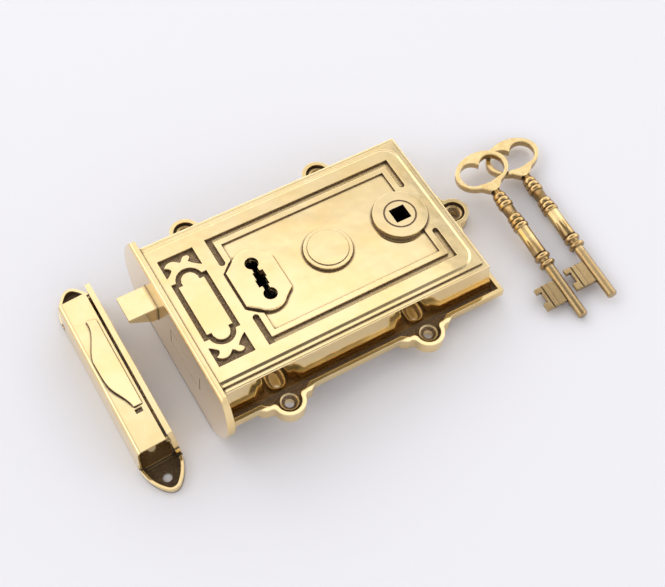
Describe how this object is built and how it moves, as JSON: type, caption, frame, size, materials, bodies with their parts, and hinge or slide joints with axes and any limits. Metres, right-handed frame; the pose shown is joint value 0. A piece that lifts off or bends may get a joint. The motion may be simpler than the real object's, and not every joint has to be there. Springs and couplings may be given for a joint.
{
  "type": "rim lock",
  "caption": "Surface rim lock with sprung latch, lever deadbolt, square spindle follower, box keep and keys.",
  "frame": {"origin": "spindle axis on the mounting plane, at the back of the case", "axes": "+Z out of the door, +X from the forend towards the hinge side, +Y along the forend from the deadbolt to the latch bolt"},
  "size_m": [0.2581, 0.1478, 0.0476],
  "materials": {
    "polished_brass": "polished",
    "work_brass": "satin",
    "key_brass": "satin",
    "steel": "brushed",
    "spring_steel": "satin"
  },
  "bodies": {
    "case": {"front_case": "polished_brass", "forend": "polished_brass", "back_plate": "steel", "back_plate_screws": "steel", "keyhole_escutcheon": "polished_brass", "roundel": "polished_brass", "latch_guide_post": "steel", "lever_pivot_post": "steel", "latch_spring": "spring_steel", "latch_spring_post": "steel"},
    "follower": {"follower": "work_brass"},
    "latch": {"latch_bolt": "polished_brass"},
    "deadbolt": {"deadbolt": "polished_brass", "bolt_stump": "work_brass"},
    "lever_1": {"lever_1": "work_brass", "lever_spring_1": "spring_steel"},
    "lever_2": {"lever_2": "work_brass", "lever_spring_2": "spring_steel"},
    "keep": {"keep_body": "polished_brass", "keep_edge_plate": "polished_brass", "keep_leaf": "polished_brass"},
    "key_rear": {"key_rear": "key_brass"},
    "key_front": {"key_front": "key_brass"}
  },
  "joints": [
    {"name": "follower_turn", "type": "hinge", "parent": "case", "child": "follower", "pos_m": [0, 0, 0.0135], "axis": [0, 0, 1], "range_deg": [0, 43]},
    {"name": "latch_slide", "type": "slide", "parent": "case", "child": "latch", "axis": [1, 0, 0], "range_m": [0, 0.0135], "stiffness_N_per_m": 60, "springref_m": -0.012, "deforming": ["latch_spring"]},
    {"name": "deadbolt_throw", "type": "slide", "parent": "case", "child": "deadbolt", "axis": [-1, 0, 0], "range_m": [0, 0.014]},
    {"name": "lever_1_lift", "type": "hinge", "parent": "case", "child": "lever_1", "pos_m": [-0.058, -0.029, 0.0132], "axis": [0, 0, 1], "range_deg": [-2.5, 2.5], "deforming": ["lever_spring_1"]},
    {"name": "lever_2_lift", "type": "hinge", "parent": "case", "child": "lever_2", "pos_m": [-0.058, -0.029, 0.0153], "axis": [0, 0, 1], "range_deg": [-2.5, 2.5], "deforming": ["lever_spring_2"]},
    {"name": "keep_lift", "type": "slide", "parent": "case", "child": "keep", "axis": [-0.0997, 0, 0.995], "range_m": [0, 0.05]},
    {"name": "key_rear_lift", "type": "slide", "parent": "case", "child": "key_rear", "axis": [-0.0997, 0, 0.995], "range_m": [0, 0.05]},
    {"name": "key_front_lift", "type": "slide", "parent": "key_rear", "child": "key_front", "axis": [-0.0997, 0, 0.995], "range_m": [0, 0.05]}
  ],
  "couplings": [
    {"joint": "follower_turn", "follows": "latch_slide", "rad_per_m": 55.556},
    {"joint": "lever_2_lift", "follows": "lever_1_lift", "ratio": 1}
  ]
}
